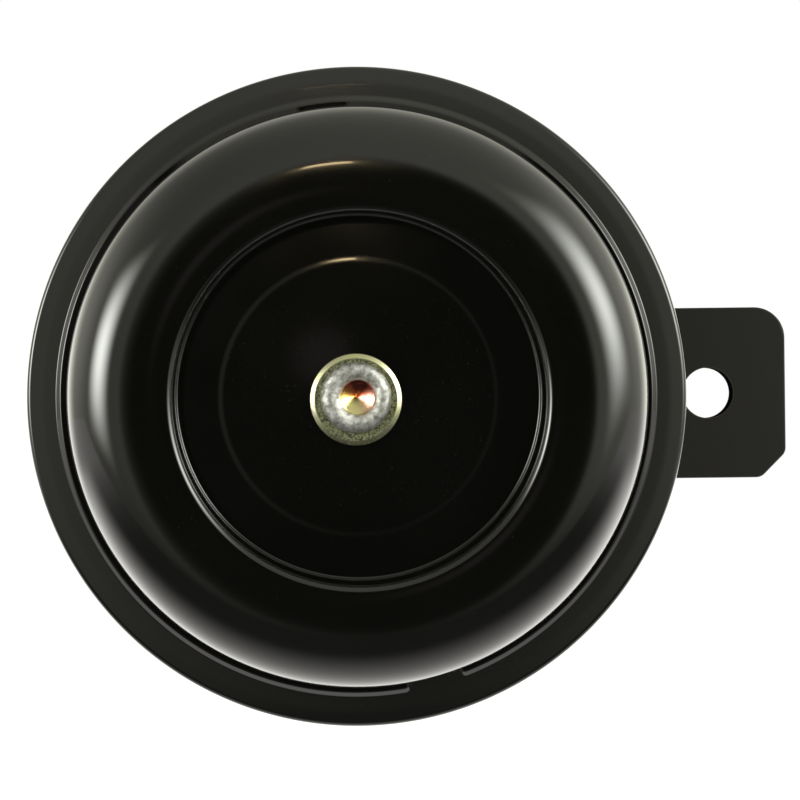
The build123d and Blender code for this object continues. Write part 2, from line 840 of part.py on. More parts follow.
# Clinch nut: threaded steel collar pressed on the shoulder's front
with BuildPart() as clinch_nut:
    with BuildSketch(horn.offset(shoulder_front)):
        with Locations((-screw_circle, 0)):
            Circle(clinch_nut_radius)
            Circle(screw_radius + screw_clearance, mode=Mode.SUBTRACT)
    extrude(amount=clinch_nut_height)
clinch_nut.part.label = "clinch_nut"
export_step(clinch_nut.part, "parts/clinch_nut.step")

# Lock nut on the adjusting screw, against the shoulder's rear
with BuildPart() as lock_nut:
    lock_nut_back = shoulder_back - lock_nut_thickness
    lock_nut_solid = hexagon_nut(
        lock_nut_across_flats, screw_radius + screw_clearance, lock_nut_back, shoulder_back
    )
    add(shifted(lock_nut_solid, (-screw_circle, 0)))
lock_nut.part.label = "lock_nut"
export_step(lock_nut.part, "parts/lock_nut.step")

# Terminal block: moulded base with a rib between the blades and a boss round each rivet
block_back = shoulder_back - block_thickness
with BuildPart() as terminal_block:
    with BuildSketch(horn.offset(shoulder_back)):
        with Locations((0, -terminal_circle)):
            RectangleRounded(block_length, block_width, block_corner_radius)
    extrude(amount=-block_thickness)
    with BuildSketch(horn.offset(block_back)):
        with Locations((0, -terminal_circle)):
            Rectangle(block_rib_thickness, block_width)
    extrude(amount=-block_rib_height)
    with BuildSketch(horn.offset(shoulder_back)):
        with Locations(*terminal_places):
            Circle(boss_radius)
    extrude(amount=housing_thickness)
    with BuildSketch(horn.offset(shoulder_front)):
        with Locations(*terminal_places):
            Circle(terminal_rivet_radius + rivet_clearance)
    extrude(amount=block_back - shoulder_front, mode=Mode.SUBTRACT)
terminal_block.part.label = "terminal_block"
export_step(terminal_block.part, "parts/terminal_block.step")

# Spade terminals: two brass blades bent up from their riveted feet
upright_section = Plane(origin=horn.origin, x_dir=horn.y_dir, z_dir=horn.x_dir)
spade_face = Plane(origin=horn.origin, x_dir=horn.x_dir, z_dir=horn.y_dir)
foot_start = terminal_rivet_head_radius + spade_bend_radius - terminal_circle
foot_end = -terminal_rivet_head_radius - spade_bend_radius - terminal_circle
spade_tip = block_back - spade_length
with BuildPart() as spade_terminals:
    for side in (-1, 1):
        with BuildSketch(upright_section.offset(side * terminal_spacing / 2)):
            with BuildLine():
                FilletPolyline(
                    (foot_start, block_back),
                    (foot_end, block_back),
                    (foot_end, spade_tip),
                    radius=spade_bend_radius,
                )
                offset(amount=spade_thickness, side=Side.LEFT)
            make_face()
        extrude(amount=spade_width / 2, both=True)
    tip_edges = spade_terminals.edges().filter_by(Axis(horn.origin, horn.y_dir)).group_by(horn_axis)[0]
    chamfer(tip_edges, spade_tip_bevel)
    with BuildSketch(horn.offset(block_back)):
        with Locations(*terminal_places):
            Circle(terminal_rivet_radius + rivet_clearance)
    extrude(amount=-spade_thickness, mode=Mode.SUBTRACT)
    with BuildSketch(spade_face.offset(foot_end)):
        for side in (-1, 1):
            with Locations((side * terminal_spacing / 2, -spade_tip - spade_hole_from_tip)):
                Circle(spade_hole_radius)
    extrude(amount=spade_thickness, mode=Mode.SUBTRACT)
spade_terminals.part.label = "spade_terminals"
export_step(spade_terminals.part, "parts/spade_terminals.step")

# Terminal insulator: laminate plate between the shoulder and the lugs
with BuildPart() as terminal_insulator:
    with BuildSketch(horn.offset(shoulder_front)):
        with Locations((0, -terminal_circle)):
            Rectangle(block_length, inner_insulator_width)
        with Locations(*terminal_places):
            Circle(terminal_rivet_radius + rivet_clearance, mode=Mode.SUBTRACT)
    extrude(amount=inner_insulator_thickness)
terminal_insulator.part.label = "terminal_insulator"
export_step(terminal_insulator.part, "parts/terminal_insulator.step")

# Terminal lugs: brass strips under the rivets' inner heads, with the leads on their outer ends
lug_back = shoulder_front + inner_insulator_thickness
lug_front = lug_back + lug_thickness
lug_middle = (lug_start + lug_end) / 2
with BuildPart() as terminal_lugs:
    with BuildSketch(horn.offset(lug_back)):
        with Locations((-lug_middle, -terminal_circle), (lug_middle, -terminal_circle)):
            Rectangle(lug_end - lug_start, lug_width)
        with Locations(*terminal_places):
            Circle(terminal_rivet_radius + rivet_clearance, mode=Mode.SUBTRACT)
    extrude(amount=lug_thickness)
terminal_lugs.part.label = "terminal_lugs"
export_step(terminal_lugs.part, "parts/terminal_lugs.step")

# Terminal rivets: brass, through foot, block, shoulder, insulator and lug
terminal_rivet = rivet(
    terminal_rivet_radius,
    terminal_rivet_head_radius,
    terminal_rivet_head_height,
    block_back - spade_thickness,
    lug_front,
)
with BuildPart() as terminal_rivets:
    add([shifted(terminal_rivet, place) for place in terminal_places])
terminal_rivets.part.label = "terminal_rivets"
export_step(terminal_rivets.part, "parts/terminal_rivets.step")

# Leads: enamelled wire, from the winding through its windows and between lug and breaker
lead_landing = lug_end - lead_inset
lug_wire_height = lug_front + lead_radius
arm_wire_height = arm_front + lead_radius
blade_wire_height = blade_front + lead_radius
winding_top = shoulder_front - bobbin_wall
tail_end = breaker_half_width + lead_inset
with BuildPart() as coil_lead_start:
    add(
        lead(
            (*window_places[1], winding_top),
            (*window_places[1], blade_wire_height),
            (lead_landing, start_lead_run - terminal_circle, blade_wire_height),
            (lead_landing, start_lead_fall - terminal_circle, lug_wire_height),
            (lead_landing + lead_radius / 4, -terminal_circle - lead_end_past_rivet, lug_wire_height),
        )
    )
coil_lead_start.part.label = "coil_lead_start"
export_step(coil_lead_start.part, "parts/coil_lead_start.step")

with BuildPart() as coil_lead_end:
    add(
        lead(
            (*window_places[0], winding_top),
            (*window_places[0], blade_wire_height),
            (end_lead_run - breaker_rivet_circle, tail_end + end_lead_peak, blade_wire_height),
            (end_lead_reach - breaker_rivet_circle, tail_end + end_lead_rise, blade_wire_height),
            (-breaker_rivet_circle, tail_end, blade_wire_height),
        )
    )
coil_lead_end.part.label = "coil_lead_end"
export_step(coil_lead_end.part, "parts/coil_lead_end.step")

with BuildPart() as contact_lead:
    add(
        lead(
            (-lead_landing, -terminal_circle, lug_wire_height),
            (-lead_landing - contact_lead_bow, -terminal_circle + lead_inset, lug_wire_height),
            (
                contact_lead_run - breaker_rivet_circle,
                contact_lead_fall - terminal_circle,
                arm_wire_height - contact_lead_sag,
            ),
            (contact_lead_reach - breaker_rivet_circle, -tail_end - contact_lead_drop, arm_wire_height),
            (-breaker_rivet_circle, -tail_end, arm_wire_height),
        )
    )
contact_lead.part.label = "contact_lead"
export_step(contact_lead.part, "parts/contact_lead.step")
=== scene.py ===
from math import acos, atan2, cos, hypot, pi, radians, sin, tan

import bmesh
import bpy
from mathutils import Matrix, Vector, noise


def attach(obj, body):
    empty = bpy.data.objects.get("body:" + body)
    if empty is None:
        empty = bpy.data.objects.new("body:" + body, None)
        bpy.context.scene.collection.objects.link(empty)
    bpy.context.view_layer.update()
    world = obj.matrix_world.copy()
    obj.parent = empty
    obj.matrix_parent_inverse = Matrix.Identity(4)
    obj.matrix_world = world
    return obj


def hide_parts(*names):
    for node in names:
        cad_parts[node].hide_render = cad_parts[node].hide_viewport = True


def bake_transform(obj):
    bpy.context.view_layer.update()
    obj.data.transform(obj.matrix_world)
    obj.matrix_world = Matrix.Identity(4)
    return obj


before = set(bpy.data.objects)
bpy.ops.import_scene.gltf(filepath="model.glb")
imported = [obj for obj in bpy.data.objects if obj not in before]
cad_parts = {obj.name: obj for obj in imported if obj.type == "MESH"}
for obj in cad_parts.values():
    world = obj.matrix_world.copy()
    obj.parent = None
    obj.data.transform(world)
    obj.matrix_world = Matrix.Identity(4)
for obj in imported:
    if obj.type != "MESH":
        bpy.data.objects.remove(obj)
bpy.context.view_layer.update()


# Studio: the horn hangs on its strap before a white ground, above a white floor that starts below it.
# The room in front is dim, with a soft glow from a soft box at the left and one at the right.


class Shade:
    """One output of a shader tree: sums on it add Math nodes, and make adds any other node."""

    def __init__(self, tree, socket=None):
        self.tree = tree
        self.socket = socket

    def make(self, kind, settings=None, sockets=None, output=0):
        """Adds a node of a kind, with its settings and the values or links of its sockets."""
        node = self.tree.nodes.new("ShaderNode" + kind)
        for name, setting in (settings or {}).items():
            if name == "stops":
                ramp = node.color_ramp.elements
                while len(ramp) < len(setting):
                    ramp.new(1.0)
                for stop, (place, colour) in zip(ramp, setting):
                    stop.position = place
                    stop.color = (*colour, 1.0)
            else:
                setattr(node, name, setting)
        for name, value in (sockets or {}).items():
            if isinstance(value, Shade):
                self.tree.links.new(value.socket, node.inputs[name])
            else:
                node.inputs[name].default_value = value
        return Shade(self.tree, node.outputs[output] if node.outputs else None)

    def math(self, operation, *terms):
        """Adds a Math node on some terms, each a number or an output."""
        return self.make("Math", {"operation": operation}, dict(enumerate(terms)))

    def __add__(self, other):
        return self.math("ADD", self, other)

    def __radd__(self, other):
        return self.math("ADD", other, self)

    def __sub__(self, other):
        return self.math("SUBTRACT", self, other)

    def __rsub__(self, other):
        return self.math("SUBTRACT", other, self)

    def __mul__(self, other):
        return self.math("MULTIPLY", self, other)

    def __rmul__(self, other):
        return self.math("MULTIPLY", other, self)

    def __truediv__(self, other):
        return self.math("DIVIDE", self, other)

    def __rtruediv__(self, other):
        return self.math("DIVIDE", other, self)

    def __neg__(self):
        return self.math("MULTIPLY", self, -1.0)

    def __abs__(self):
        return self.math("ABSOLUTE", self)

    def scaled(self, factor):
        """Colour or vector times a factor."""
        return self.make("VectorMath", {"operation": "SCALE"}, {0: self, "Scale": factor})

    def minus(self, place):
        """Vector from a fixed place to this one."""
        return self.make("VectorMath", {"operation": "SUBTRACT"}, {0: self, 1: place})

    def dot(self, other):
        """Dot product of this vector and another."""
        return self.make("VectorMath", {"operation": "DOT_PRODUCT"}, {0: self, 1: other}, output=1)

    def length(self):
        """Length of this vector."""
        return self.make("VectorMath", {"operation": "LENGTH"}, {0: self}, output=1)

    def part(self, n):
        """One coordinate of a vector."""
        return self.make("SeparateXYZ", sockets={0: self}, output=n)

    def rise(self, low, high, start=0.0, end=1.0):
        """Goes from start to end, softly, while this value goes from low to high."""
        sockets = {"Value": self, "From Min": low, "From Max": high, "To Min": start, "To Max": end}
        return self.make("MapRange", {"interpolation_type": "SMOOTHSTEP"}, sockets)

    def blend(self, first, second):
        """Colour that goes from the first to the second as this value goes from 0 to 1."""
        sockets = {"Factor": self, 6: first, 7: second}
        return self.make("Mix", {"data_type": "RGBA"}, sockets, output=2)


def glow(direction, polar, azimuth, half_width, half_height, peak):
    """Soft patch of light in the world, around a direction off the horn's axis, in degrees."""
    polar, azimuth = radians(polar), radians(azimuth)
    toward = Vector((sin(polar) * cos(azimuth), -cos(polar), sin(polar) * sin(azimuth)))
    side = Vector((-sin(azimuth), 0.0, cos(azimuth)))
    off_side, off_rising, near = (direction.dot(axis) for axis in (side, toward.cross(side), toward))
    wide = abs(off_side).rise(0.0, half_width, 1.0, 0.0)
    high = abs(off_rising).rise(0.0, half_height, 1.0, 0.0)
    same_half = near.rise(0.2, 0.4)
    return wide * high * same_half * peak


white = (1.0, 1.0, 1.0, 1.0)
room_colour = (0.985, 0.975, 0.85, 1.0)
box_colour = (0.98, 1.0, 0.93, 1.0)
high_front_level = 0.49
low_front_level = 0.07
side_lift = 0.35
left_share = 0.72
high_behind_level = 0.7
white_behind_level = 2.1
behind_start = 0.25
behind_full = 0.72
diffuse_level = 0.30

world = bpy.data.worlds.new("room")
bpy.context.scene.world = world
world.use_nodes = True
world.node_tree.nodes.clear()
room = Shade(world.node_tree)
direction = room.make("TexCoord", output=0)
across, ahead, up = (direction.part(n) for n in range(3))
in_front = (up + abs(across) * side_lift).rise(-0.30, 0.12, low_front_level, high_front_level)
in_front = in_front * across.rise(-0.6, 0.1, left_share, 1.0)
behind = up.rise(0.05, 0.50, white_behind_level, high_behind_level)
boxes = glow(direction, polar=57, azimuth=22, half_width=0.44, half_height=0.50, peak=8.4)
boxes = boxes + glow(direction, polar=53, azimuth=169, half_width=0.33, half_height=0.37, peak=11.0)
walls = glow(direction, polar=97, azimuth=20, half_width=0.80, half_height=0.75, peak=0.55)
walls = walls + glow(direction, polar=97, azimuth=166, half_width=0.62, half_height=0.75, peak=0.62)
mirrored_level = in_front + (behind - in_front) * ahead.rise(behind_start, behind_full) + boxes + walls
camera_ray = room.make("LightPath", output=0)
glossy_ray = room.make("LightPath", output=3)
through_ray = room.make("LightPath", output=6)
mirror_ray = glossy_ray.math("MAXIMUM", glossy_ray, through_ray)
level = mirror_ray * mirrored_level + (1 - mirror_ray) * diffuse_level
tint = boxes.rise(0.2, 2.0).blend(room_colour, box_colour)
room_light = room.make("Background", sockets={"Color": tint.scaled(level), "Strength": 1.0})
white_ground = room.make("Background", sockets={"Color": white, "Strength": 1.0})
seen = room.make("MixShader", sockets={0: camera_ray, 1: room_light, 2: white_ground})
room.make("OutputWorld", sockets={"Surface": seen})

# The horn's place in the frame: its axis lies one strap's reach left of the bolt hole, and its rim's
# front stands off the strap's rear face by the strap and the housing
strap_reach = 0.060
strap_thickness = 0.0035
housing_depth = 0.0248
rim_front = -(strap_thickness + housing_depth)


def at(radius, angle, height):
    """Point in the frame, from a radius, an angle and a height in front of the rim."""
    return Vector((radius * cos(angle) - strap_reach, rim_front - height, radius * sin(angle)))


def area_lamp(name, polar, azimuth, distance, size, radiance, colour):
    """Lamp that faces the horn from a direction off its axis, in degrees, as bright as it would look."""
    light = bpy.data.lights.new(name, "AREA")
    light.shape = "RECTANGLE"
    light.size, light.size_y = size
    light.energy = radiance * pi * size[0] * size[1]
    light.color = colour
    lamp = bpy.data.objects.new(name, light)
    bpy.context.scene.collection.objects.link(lamp)
    lamp.location = at(distance * sin(radians(polar)), radians(azimuth), distance * cos(radians(polar)))
    lamp.rotation_euler = (lamp.location - at(0, 0, 0)).to_track_quat("Z", "Y").to_euler()
    lamp.visible_camera = False
    return lamp


box_polar = 55
box_distance = 0.90
box_white = (1.0, 0.99, 0.97)
for side, azimuth, size, radiance in (("right", 22, (0.40, 0.44), 5.0), ("left", 167, (0.30, 0.36), 7.0)):
    box = area_lamp(side + "_soft_box", box_polar, azimuth, box_distance, size, radiance, box_white)
    box.visible_glossy = False

# Two small warm lamps above the camera: a near one with a narrow beam towards the tone disc's brow,
# and a far one, a thin strip that shows in the paint as a line of gold.
lamp_colour = (1.0, 0.76, 0.40)
lamp_azimuth = 101
lamp_beam = radians(13)
aim_radius = 0.028
aim_height = 0.012
strip_tilt = radians(7)
camera_lamp = area_lamp(
    "camera_lamp", polar=16.8, azimuth=lamp_azimuth, distance=0.250, size=(0.015, 0.008),
    radiance=0.07, colour=lamp_colour,
)
camera_lamp.data.spread = lamp_beam
lamp_aim = camera_lamp.location - at(aim_radius, radians(lamp_azimuth), aim_height)
camera_lamp.rotation_euler = lamp_aim.to_track_quat("Z", "Y").to_euler()
shelf_lamp = area_lamp(
    "shelf_lamp", polar=16.1, azimuth=99, distance=0.62, size=(0.034, 0.0006),
    radiance=10.0, colour=lamp_colour,
)
shelf_lamp.rotation_euler.rotate_axis("Z", strip_tilt)


# Floor: white paper below and behind the horn, matt and evenly lit. Mirrored, it is dark near the
# camera and grows brighter towards the back and the sides.
def sheet_of(name, corners):
    """Object of one flat face."""
    mesh = bpy.data.meshes.new(name)
    mesh.from_pydata(corners, [], [tuple(range(len(corners)))])
    sheet_object = bpy.data.objects.new(name, mesh)
    bpy.context.scene.collection.objects.link(sheet_object)
    return sheet_object


def finish(name):
    """New material: its tree of nodes and the object coordinates that its detail is drawn in."""
    material = bpy.data.materials.new(name)
    material.use_nodes = True
    material.node_tree.nodes.clear()
    tree = Shade(material.node_tree)
    return material, tree, tree.make("TexCoord", output=3)


floor_drop = 0.12
floor_front = -0.30
floor_side = 2.0
floor_back = 2.0
fibre_scale = 400.0
paper_glow = 0.82
dark_end = -0.125
white_start = 0.085
far_front_level = 0.82
side_start = 0.15
side_full = 0.60
floor = sheet_of("floor", [
    (-floor_side, floor_front, -floor_drop), (floor_side, floor_front, -floor_drop),
    (floor_side, floor_back, -floor_drop), (-floor_side, floor_back, -floor_drop),
])
paper, paper_tree, paper_place = finish("white_paper")
fibre = paper_tree.make("TexNoise", sockets={"Vector": paper_place, "Scale": fibre_scale, "Detail": 2.0})
paper_colour = fibre.blend((0.88, 0.88, 0.88, 1.0), (0.92, 0.92, 0.92, 1.0))
matt = paper_tree.make("BsdfDiffuse", sockets={"Color": paper_colour})
glowing = paper_tree.make("Emission", sockets={"Strength": paper_glow})
lit = paper_tree.make("AddShader", sockets={0: matt, 1: glowing})
from_horn = paper_place.minus(at(0, 0, 0))
to_back = from_horn.part(1) / from_horn.length()
near_level = paper_place.part(1).rise(dark_end, white_start, low_front_level, white_behind_level)
far_level = to_back.rise(behind_start, behind_full, far_front_level, white_behind_level)
aside = abs(from_horn.part(0)).rise(side_start, side_full)
mirrored_glow = near_level + (far_level - near_level) * aside
mirrored_colour = fibre.blend((0.99, 0.97, 0.92, 1.0), (1.0, 0.98, 0.93, 1.0)).scaled(mirrored_glow)
mirrored = paper_tree.make("Emission", sockets={"Color": mirrored_colour, "Strength": 1.0})
in_mirror = paper_tree.make("LightPath", output=3)
paper_look = paper_tree.make("MixShader", sockets={0: in_mirror, 1: lit, 2: mirrored})
paper_tree.make("OutputMaterial", sockets={"Surface": paper_look})
floor.data.materials.append(paper)

# Camera body: a dark card with soft edges, straight in front of the horn. Only mirrors show it, with
# one small warm spot on it.
body_distance = 0.262
body_half = 0.135
body_core = 0.055
body_reach = 0.125
body_colour = (0.022, 0.022, 0.0176, 1.0)
spot_radius = 0.022
spot_angle = radians(143)
spot_core = 0.002
spot_reach = 0.014
spot_colour = (0.14, 0.12, 0.11, 1.0)
camera_body = sheet_of("camera_body", [
    (right * body_half - strap_reach, rim_front - body_distance, top * body_half)
    for right, top in ((-1, -1), (1, -1), (1, 1), (-1, 1))
])
body_material, body_tree, body_place = finish("camera_body_black")
from_middle = body_place.minus(at(0, 0, body_distance)).length()
from_spot = body_place.minus(at(spot_radius, spot_angle, body_distance)).length()
body_tint = from_spot.rise(spot_core, spot_reach, 1.0, 0.0).blend(body_colour, spot_colour)
dark = body_tree.make("Emission", sockets={"Color": body_tint, "Strength": 1.0})
clear = body_tree.make("BsdfTransparent")
fading = from_middle.rise(body_core, body_reach)
body_look = body_tree.make("MixShader", sockets={0: fading, 1: dark, 2: clear})
body_tree.make("OutputMaterial", sockets={"Surface": body_look})
camera_body.data.materials.append(body_material)
camera_body.visible_camera = False
camera_body.visible_diffuse = False
camera_body.visible_shadow = False

# Camera: 250 mm in front of the rim and 7 mm from the horn's axis towards the strap, with a slight
# roll. The horn then fills the picture as it does in the photo.
camera_distance = 0.250
camera_shift = Vector((0.00684, 0.0, -0.000644))
camera_roll = radians(0.65)
camera_data = bpy.data.cameras.new("photo_camera")
camera_data.lens = 71.61
camera_data.sensor_width = 36.0
camera = bpy.data.objects.new("photo_camera", camera_data)
bpy.context.scene.collection.objects.link(camera)
camera.location = at(0, 0, camera_distance) + camera_shift
camera.rotation_euler = (pi / 2, camera_roll, 0.0)
bpy.context.scene.camera = camera
bpy.context.scene.view_settings.view_transform = "Standard"


# Tone disc: one pressing of 1 mm steel sheet, turned over at its edge and dished in the middle, in
# gloss black paint. It is clamped at its plateau between the collar and the front washer.


def arc(center, radius, start, end, steps):
    """Points on an arc, from one angle to another in degrees."""
    turns = [radians(start + (end - start) * n / steps) for n in range(steps + 1)]
    return [(center[0] + radius * cos(turn), center[1] + radius * sin(turn)) for turn in turns]


def rounded(corners, radii, steps=8):
    """Path through corners of the half section, each inner one rounded by its radius."""
    path = [corners[0]]
    for before, corner, after, radius in zip(corners, corners[1:], corners[2:], radii):
        corner, toward, away = Vector(corner), Vector(before), Vector(after)
        toward = (toward - corner).normalized()
        away = (away - corner).normalized()
        half = acos(toward.dot(away)) / 2
        center = corner + (toward + away).normalized() * radius / sin(half)
        start = corner + toward * radius / tan(half) - center
        end = corner + away * radius / tan(half) - center
        begin = atan2(start.y, start.x)
        turn = (atan2(end.y, end.x) - begin + pi) % (2 * pi) - pi
        for n in range(steps + 1):
            angle = begin + turn * n / steps
            path.append((center.x + radius * cos(angle), center.y + radius * sin(angle)))
    path.append(corners[-1])
    return path


def spread(path, step):
    """The same path with points added a step apart, and others close to both ends of each long run."""
    long_run = 0.4 * step
    end_gap = 0.04 * step
    result = [path[0]]
    for a, b in zip(path, path[1:]):
        length = hypot(b[0] - a[0], b[1] - a[1])
        count = max(1, round(length / step))
        shares = [n / count for n in range(1, count + 1)]
        if length > long_run:
            close = end_gap / length
            shares = sorted({close, 1.0 - close, *shares})
        result += [(a[0] + (b[0] - a[0]) * share, a[1] + (b[1] - a[1]) * share) for share in shares]
    return result


def sheet_outline(path, thickness):
    """Closed outline of a bent sheet that lies to the left of its path."""
    inner = []
    for n, point in enumerate(path):
        before, after = path[max(n - 1, 0)], path[min(n + 1, len(path) - 1)]
        along = Vector((after[0] - before[0], after[1] - before[1])).normalized()
        inner.append((point[0] - along.y * thickness, point[1] + along.x * thickness))
    return path + inner[::-1]


def as_object(name, mesh_maker, sharp_angle=35):
    """Object of a bmesh, shaded smooth but for edges sharper than an angle in degrees."""
    bmesh.ops.remove_doubles(mesh_maker, verts=mesh_maker.verts, dist=1e-8)
    bmesh.ops.recalc_face_normals(mesh_maker, faces=mesh_maker.faces)
    for face in mesh_maker.faces:
        face.smooth = True
    for edge in mesh_maker.edges:
        edge.smooth = len(edge.link_faces) == 2 and edge.calc_face_angle(0.0) < radians(sharp_angle)
    mesh = bpy.data.meshes.new(name)
    mesh_maker.to_mesh(mesh)
    mesh_maker.free()
    piece = bpy.data.objects.new(name, mesh)
    bpy.context.scene.collection.objects.link(piece)
    return piece


def lathe(name, outline, segments, shape, sharp_angle=35):
    """Piece turned about the horn's axis from a closed outline; shape moves its points."""
    maker = bmesh.new()
    rings = []
    for n in range(segments):
        angle = 2 * pi * n / segments
        rings.append([maker.verts.new(shape(radius, angle, height)) for radius, height in outline])
    for ring, following in zip(rings, rings[1:] + rings[:1]):
        for k in range(len(outline)):
            corners = [ring[k], ring[(k + 1) % len(outline)]]
            corners += [following[(k + 1) % len(outline)], following[k]]
            different = {tuple(round(c, 9) for c in corner.co) for corner in corners}
            if len(different) > 2:
                maker.faces.new(corners)
    return as_object(name, maker, sharp_angle)


def share_of(value, low, high):
    """How far a value lies between two limits, from 0 to 1."""
    return min(1.0, max(0.0, (value - low) / (high - low)))


def eased(share):
    """A share that starts and ends softly."""
    return share * share * (3 - 2 * share)


tone_thickness = 0.0010
tone_edge_radius = 0.0444
tone_edge_height = 0.0075
edge_turn = 70.0
edge_turn_radius = 0.0100
slope_radius = 0.0360
slope_turn = 9.9
brow_radius = 0.00115
wall_angle = 89.6
foot_radius = 0.0003
plateau_height = 0.0070
plateau_radius = 0.0204
plateau_edge_width = 0.0013
plateau_edge_drop = 0.00005
plateau_edge_steps = 8
tone_mesh_step = 0.0012
dish_floor = plateau_height - plateau_edge_drop
shank_hole = 0.0037
edge_turn_center = (
    tone_edge_radius - edge_turn_radius * sin(radians(edge_turn)),
    tone_edge_height - edge_turn_radius * cos(radians(edge_turn)),
)
crest = (edge_turn_center[0], edge_turn_center[1] + edge_turn_radius)
slope_center = (crest[0], crest[1] - slope_radius)
slope_end = radians(90 + slope_turn)
brow_center = (
    slope_center[0] + (slope_radius - brow_radius) * cos(slope_end),
    slope_center[1] + (slope_radius - brow_radius) * sin(slope_end),
)
brow_end = arc(brow_center, brow_radius, 90 + wall_angle, 90 + wall_angle, steps=1)[0]
dish_foot = brow_end[0] - (brow_end[1] - dish_floor) / tan(radians(wall_angle))
tone_path = arc(edge_turn_center, edge_turn_radius, 90 - edge_turn, 90, steps=40)
tone_path += arc(slope_center, slope_radius, 90, 90 + slope_turn, steps=14)[1:]
tone_path += arc(brow_center, brow_radius, 90 + slope_turn, 90 + wall_angle, steps=14)[1:]
dish_corners = [brow_end, (dish_foot, dish_floor), (plateau_radius, dish_floor)]
dish_path = rounded(dish_corners, [foot_radius], steps=12)[:-1]
for n in range(plateau_edge_steps + 1):
    share = n / plateau_edge_steps
    lift = plateau_edge_drop * eased(share)
    dish_path.append((plateau_radius + plateau_edge_width * (1 - share), dish_floor + lift))
dish_path.append((shank_hole, plateau_height))
tone_path += spread(dish_path, tone_mesh_step)[1:]
edge_shift = Vector((0.00034, 0.0, -0.00008))
brow_shift = Vector((0.00084, 0.0, -0.00042))
foot_shift = Vector((0.00048, 0.0, -0.00005))
brow_outside = brow_end[0] + brow_radius
brow_level = crest[1] - 0.0008
centred_radius = 0.008
shifted_radius = 0.020


def in_disc(radius, angle, height):
    """Point of the tone disc: its pressing stands a little low and right of its bore, as in the photo."""
    if radius > brow_outside:
        shift = brow_shift.lerp(edge_shift, share_of(radius, brow_outside, tone_edge_radius))
    else:
        shift = foot_shift.lerp(brow_shift, share_of(height, plateau_height, brow_level))
        shift = shift * share_of(radius, centred_radius, shifted_radius)
    return at(radius, angle, height) + shift


tone_outline = sheet_outline(tone_path, tone_thickness)
tone_disc = lathe("tone_disc_pressing", tone_outline, segments=288, shape=in_disc)


def noise_of(tree, where, size, detail, roughness=0.5):
    """Even noise from 0 to 1 whose lumps are about a size in metres."""
    sockets = {"Vector": where, "Scale": 1 / size, "Detail": detail, "Roughness": roughness}
    return tree.make("TexNoise", sockets=sockets)


def bump_of(tree, height, distance, normal=None):
    """Normal of a surface raised by a height from 0 to 1 times a distance."""
    sockets = {"Height": height, "Distance": distance}
    if normal:
        sockets["Normal"] = normal
    return tree.make("Bump", sockets=sockets)


def surface(tree, **sockets):
    """Closes a material with one principled surface; names give its sockets."""
    named = {name.replace("_", " "): value for name, value in sockets.items()}
    shader = tree.make("BsdfPrincipled", sockets=named)
    tree.make("OutputMaterial", sockets={"Surface": shader})


def gloss_black(name):
    """Stoved gloss paint: a faint orange peel, hazy patches and dust over a warm black."""
    material, tree, where = finish(name)
    wide_peel = noise_of(tree, where, size=0.0022, detail=1.0)
    fine_peel = noise_of(tree, where, size=0.0007, detail=2.0)
    peel = wide_peel * 0.75 + fine_peel * 0.25
    cloud = noise_of(tree, where, size=0.018, detail=4.0)
    dust = noise_of(tree, where, size=0.00020, detail=0.0).rise(0.80, 0.90)
    base = dust.blend((0.0017, 0.0018, 0.0013, 1.0), (0.018, 0.017, 0.014, 1.0))
    surface(
        tree,
        Base_Color=base,
        Roughness=cloud.rise(0.3, 0.7, 0.10, 0.17) + dust * 0.2,
        Coat_Weight=1.0,
        Coat_Roughness=0.04,
        Normal=bump_of(tree, peel, 0.0000022),
    )
    return material


gloss_paint = gloss_black("gloss_black_paint")
tone_disc.data.materials.append(gloss_paint)
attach(tone_disc, "sounder")
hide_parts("tone_disc")


# Front washer: a stamped steel ring with a bevelled edge, in yellow passivated zinc. It sits on the
# plateau, low by its play on the shank, under the staked head.
washer_radius = 0.00699
washer_bore = 0.0041
washer_thickness = 0.0015
washer_bevel = 0.00068
washer_bevel_drop = 0.00042
washer_edge_radii = [0.0001, 0.00012, 0.00018, 0.0001]
washer_mesh_step = 0.0004
washer_shift = Vector((0.00015, 0.0, -0.00050))
washer_top = plateau_height + washer_thickness
washer_corners = [
    (washer_bore, plateau_height),
    (washer_radius, plateau_height),
    (washer_radius, washer_top - washer_bevel_drop),
    (washer_radius - washer_bevel, washer_top),
    (washer_bore, washer_top),
]


def in_washer(radius, angle, height):
    """Point of the washer, which hangs low on its shank."""
    return at(radius, angle, height) + washer_shift


washer_path = rounded(washer_corners + washer_corners[:1], washer_edge_radii, steps=3)
washer_path = spread(washer_path, washer_mesh_step)[:-1]
washer = lathe("front_washer_ring", washer_path, segments=160, shape=in_washer, sharp_angle=80)


def yellow_zinc(name):
    """Zinc plate in yellow chromate: greenish gold with rosy clouds, dull specks on its flat faces."""
    material, tree, where = finish(name)
    cloud = noise_of(tree, where, size=0.0040, detail=3.0)
    speck = noise_of(tree, where, size=0.00030, detail=4.0, roughness=0.6)
    tint = tree.make(
        "ValToRGB",
        {"stops": [(0.36, (0.62, 0.66, 0.30)), (0.5, (0.74, 0.70, 0.34)), (0.66, (0.80, 0.60, 0.42))]},
        {"Fac": cloud},
    )
    dull = speck.rise(0.44, 0.60)
    surface(
        tree,
        Base_Color=dull.blend(tint, (0.17, 0.17, 0.09, 1.0)),
        Metallic=1.0,
        Roughness=dull * 0.22 + 0.24,
        Normal=bump_of(tree, speck, 0.000022),
    )
    return material


def off_axis(offset):
    """Distance from the axis that runs straight back through the point an offset starts at."""
    right, top = offset.part(0), offset.part(2)
    return right.math("SQRT", right * right + top * top)


